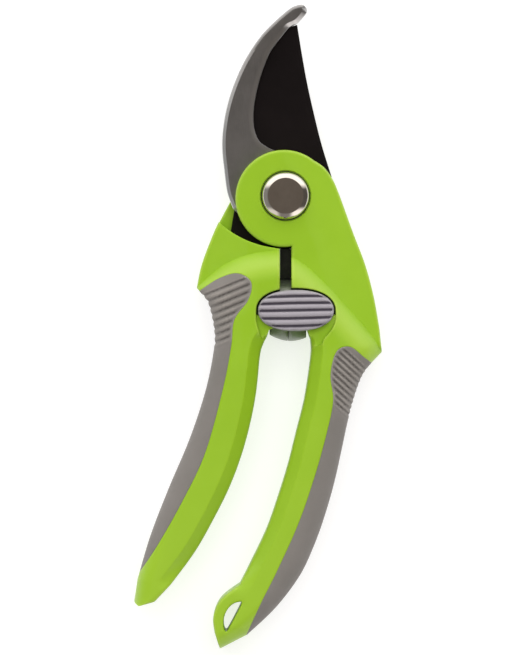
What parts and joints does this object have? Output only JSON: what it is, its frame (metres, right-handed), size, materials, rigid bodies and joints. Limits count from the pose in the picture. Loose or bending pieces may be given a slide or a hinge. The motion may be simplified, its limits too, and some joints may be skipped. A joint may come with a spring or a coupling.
{
  "type": "pruning shears",
  "caption": "Hand-held bypass pruning shears with a curved hook, a coated cutting blade, soft-gripped handles, a volute spring and a sliding thumb lock.",
  "frame": {"origin": "on the pivot axis, at the plane that the shears rest on when they lie on their back (the back face of the pivot bolt)", "axes": "+Y from the pivot to the blades' tips, +X to the right handle seen from the front, +Z from the resting plane up to the front"},
  "size_m": [0.0777, 0.202, 0.0268],
  "materials": {
    "green_plastic": "satin moulded",
    "grey_grip": "matt soft overmould",
    "hook_steel": "satin with a bright ground bevel",
    "blade_coating": "black low-friction coating with a ground edge",
    "chrome": "polished",
    "plain_steel": "zinc plated",
    "spring_steel": "bright strip",
    "black_rubber": "matt",
    "black_nylon": "matt",
    "button_grey": "satin moulded"
  },
  "bodies": {
    "right_half": {"hook_blade": "hook_steel", "right_handle": "green_plastic", "right_grip": "grey_grip", "pivot_bolt": "chrome", "pivot_bush": "plain_steel", "bolt_washer": "black_nylon", "back_washer": "plain_steel", "spring_washer": "plain_steel", "pivot_nut": "chrome", "volute_spring": "spring_steel", "right_spring_cap": "black_nylon", "stop_bumper": "black_rubber", "lock_screw": "chrome"},
    "left_half": {"cutting_blade": "blade_coating", "left_handle": "green_plastic", "left_grip": "grey_grip", "left_spring_cap": "black_nylon"},
    "lock": {"lock_button": "button_grey", "lock_slider": "plain_steel", "lock_pin": "plain_steel"}
  },
  "joints": [
    {"name": "pivot", "type": "hinge", "parent": "right_half", "child": "left_half", "pos_m": [0, 0, 0.0125], "axis": [0, 0, -1], "range_deg": [0, 25], "deforming": ["volute_spring"]},
    {"name": "lock_slide", "type": "slide", "parent": "right_half", "child": "lock", "axis": [0, 1, 0], "range_m": [-0.003, 0]}
  ]
}
